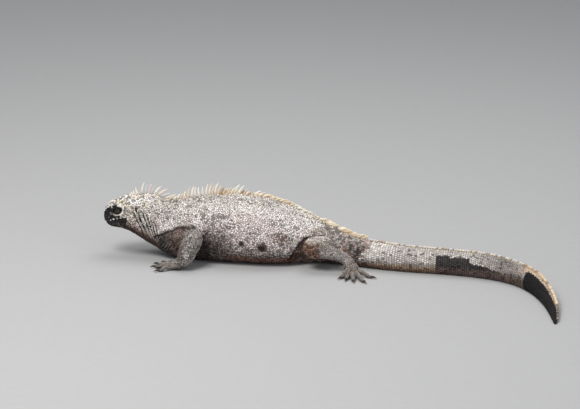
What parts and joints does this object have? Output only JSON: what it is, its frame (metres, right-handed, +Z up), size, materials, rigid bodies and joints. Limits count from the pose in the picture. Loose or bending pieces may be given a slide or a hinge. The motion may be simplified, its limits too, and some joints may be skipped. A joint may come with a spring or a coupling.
{
  "type": "marine iguana model",
  "caption": "Life-size still model of an adult marine iguana at rest on its belly, legs spread, tail curved to its left.",
  "frame": {"origin": "on the floor under the middle of the belly, at the centre of the flat that the belly rests on", "axes": "+Z up, the head towards -X and the body along X, the animal's left side towards -Y"},
  "size_m": [0.8086, 0.5171, 0.1408],
  "materials": {
    "skin": "dry granular scales",
    "claw": "dark horn",
    "eye": "wet gloss"
  },
  "bodies": {
    "root": {"head": "skin", "eye_left": "eye", "eye_right": "eye", "neck": "skin", "torso": "skin", "tail_base": "skin", "tail_middle": "skin", "tail_rear": "skin", "tail_curve": "skin", "tail_end": "skin", "tail_tip": "skin", "upper_arm_left": "skin", "forearm_left": "skin", "hand_left": "skin", "thigh_left": "skin", "shank_left": "skin", "foot_left": "skin", "claw_hand_left_1": "claw", "claw_hand_left_2": "claw", "claw_hand_left_3": "claw", "claw_hand_left_4": "claw", "claw_hand_left_5": "claw", "claw_foot_left_1": "claw", "claw_foot_left_2": "claw", "claw_foot_left_3": "claw", "claw_foot_left_4": "claw", "claw_foot_left_5": "claw", "upper_arm_right": "skin", "forearm_right": "skin", "hand_right": "skin", "thigh_right": "skin", "shank_right": "skin", "foot_right": "skin", "claw_hand_right_1": "claw", "claw_hand_right_2": "claw", "claw_hand_right_3": "claw", "claw_hand_right_4": "claw", "claw_hand_right_5": "claw", "claw_foot_right_1": "claw", "claw_foot_right_2": "claw", "claw_foot_right_3": "claw", "claw_foot_right_4": "claw", "claw_foot_right_5": "claw"}
  },
  "joints": []
}
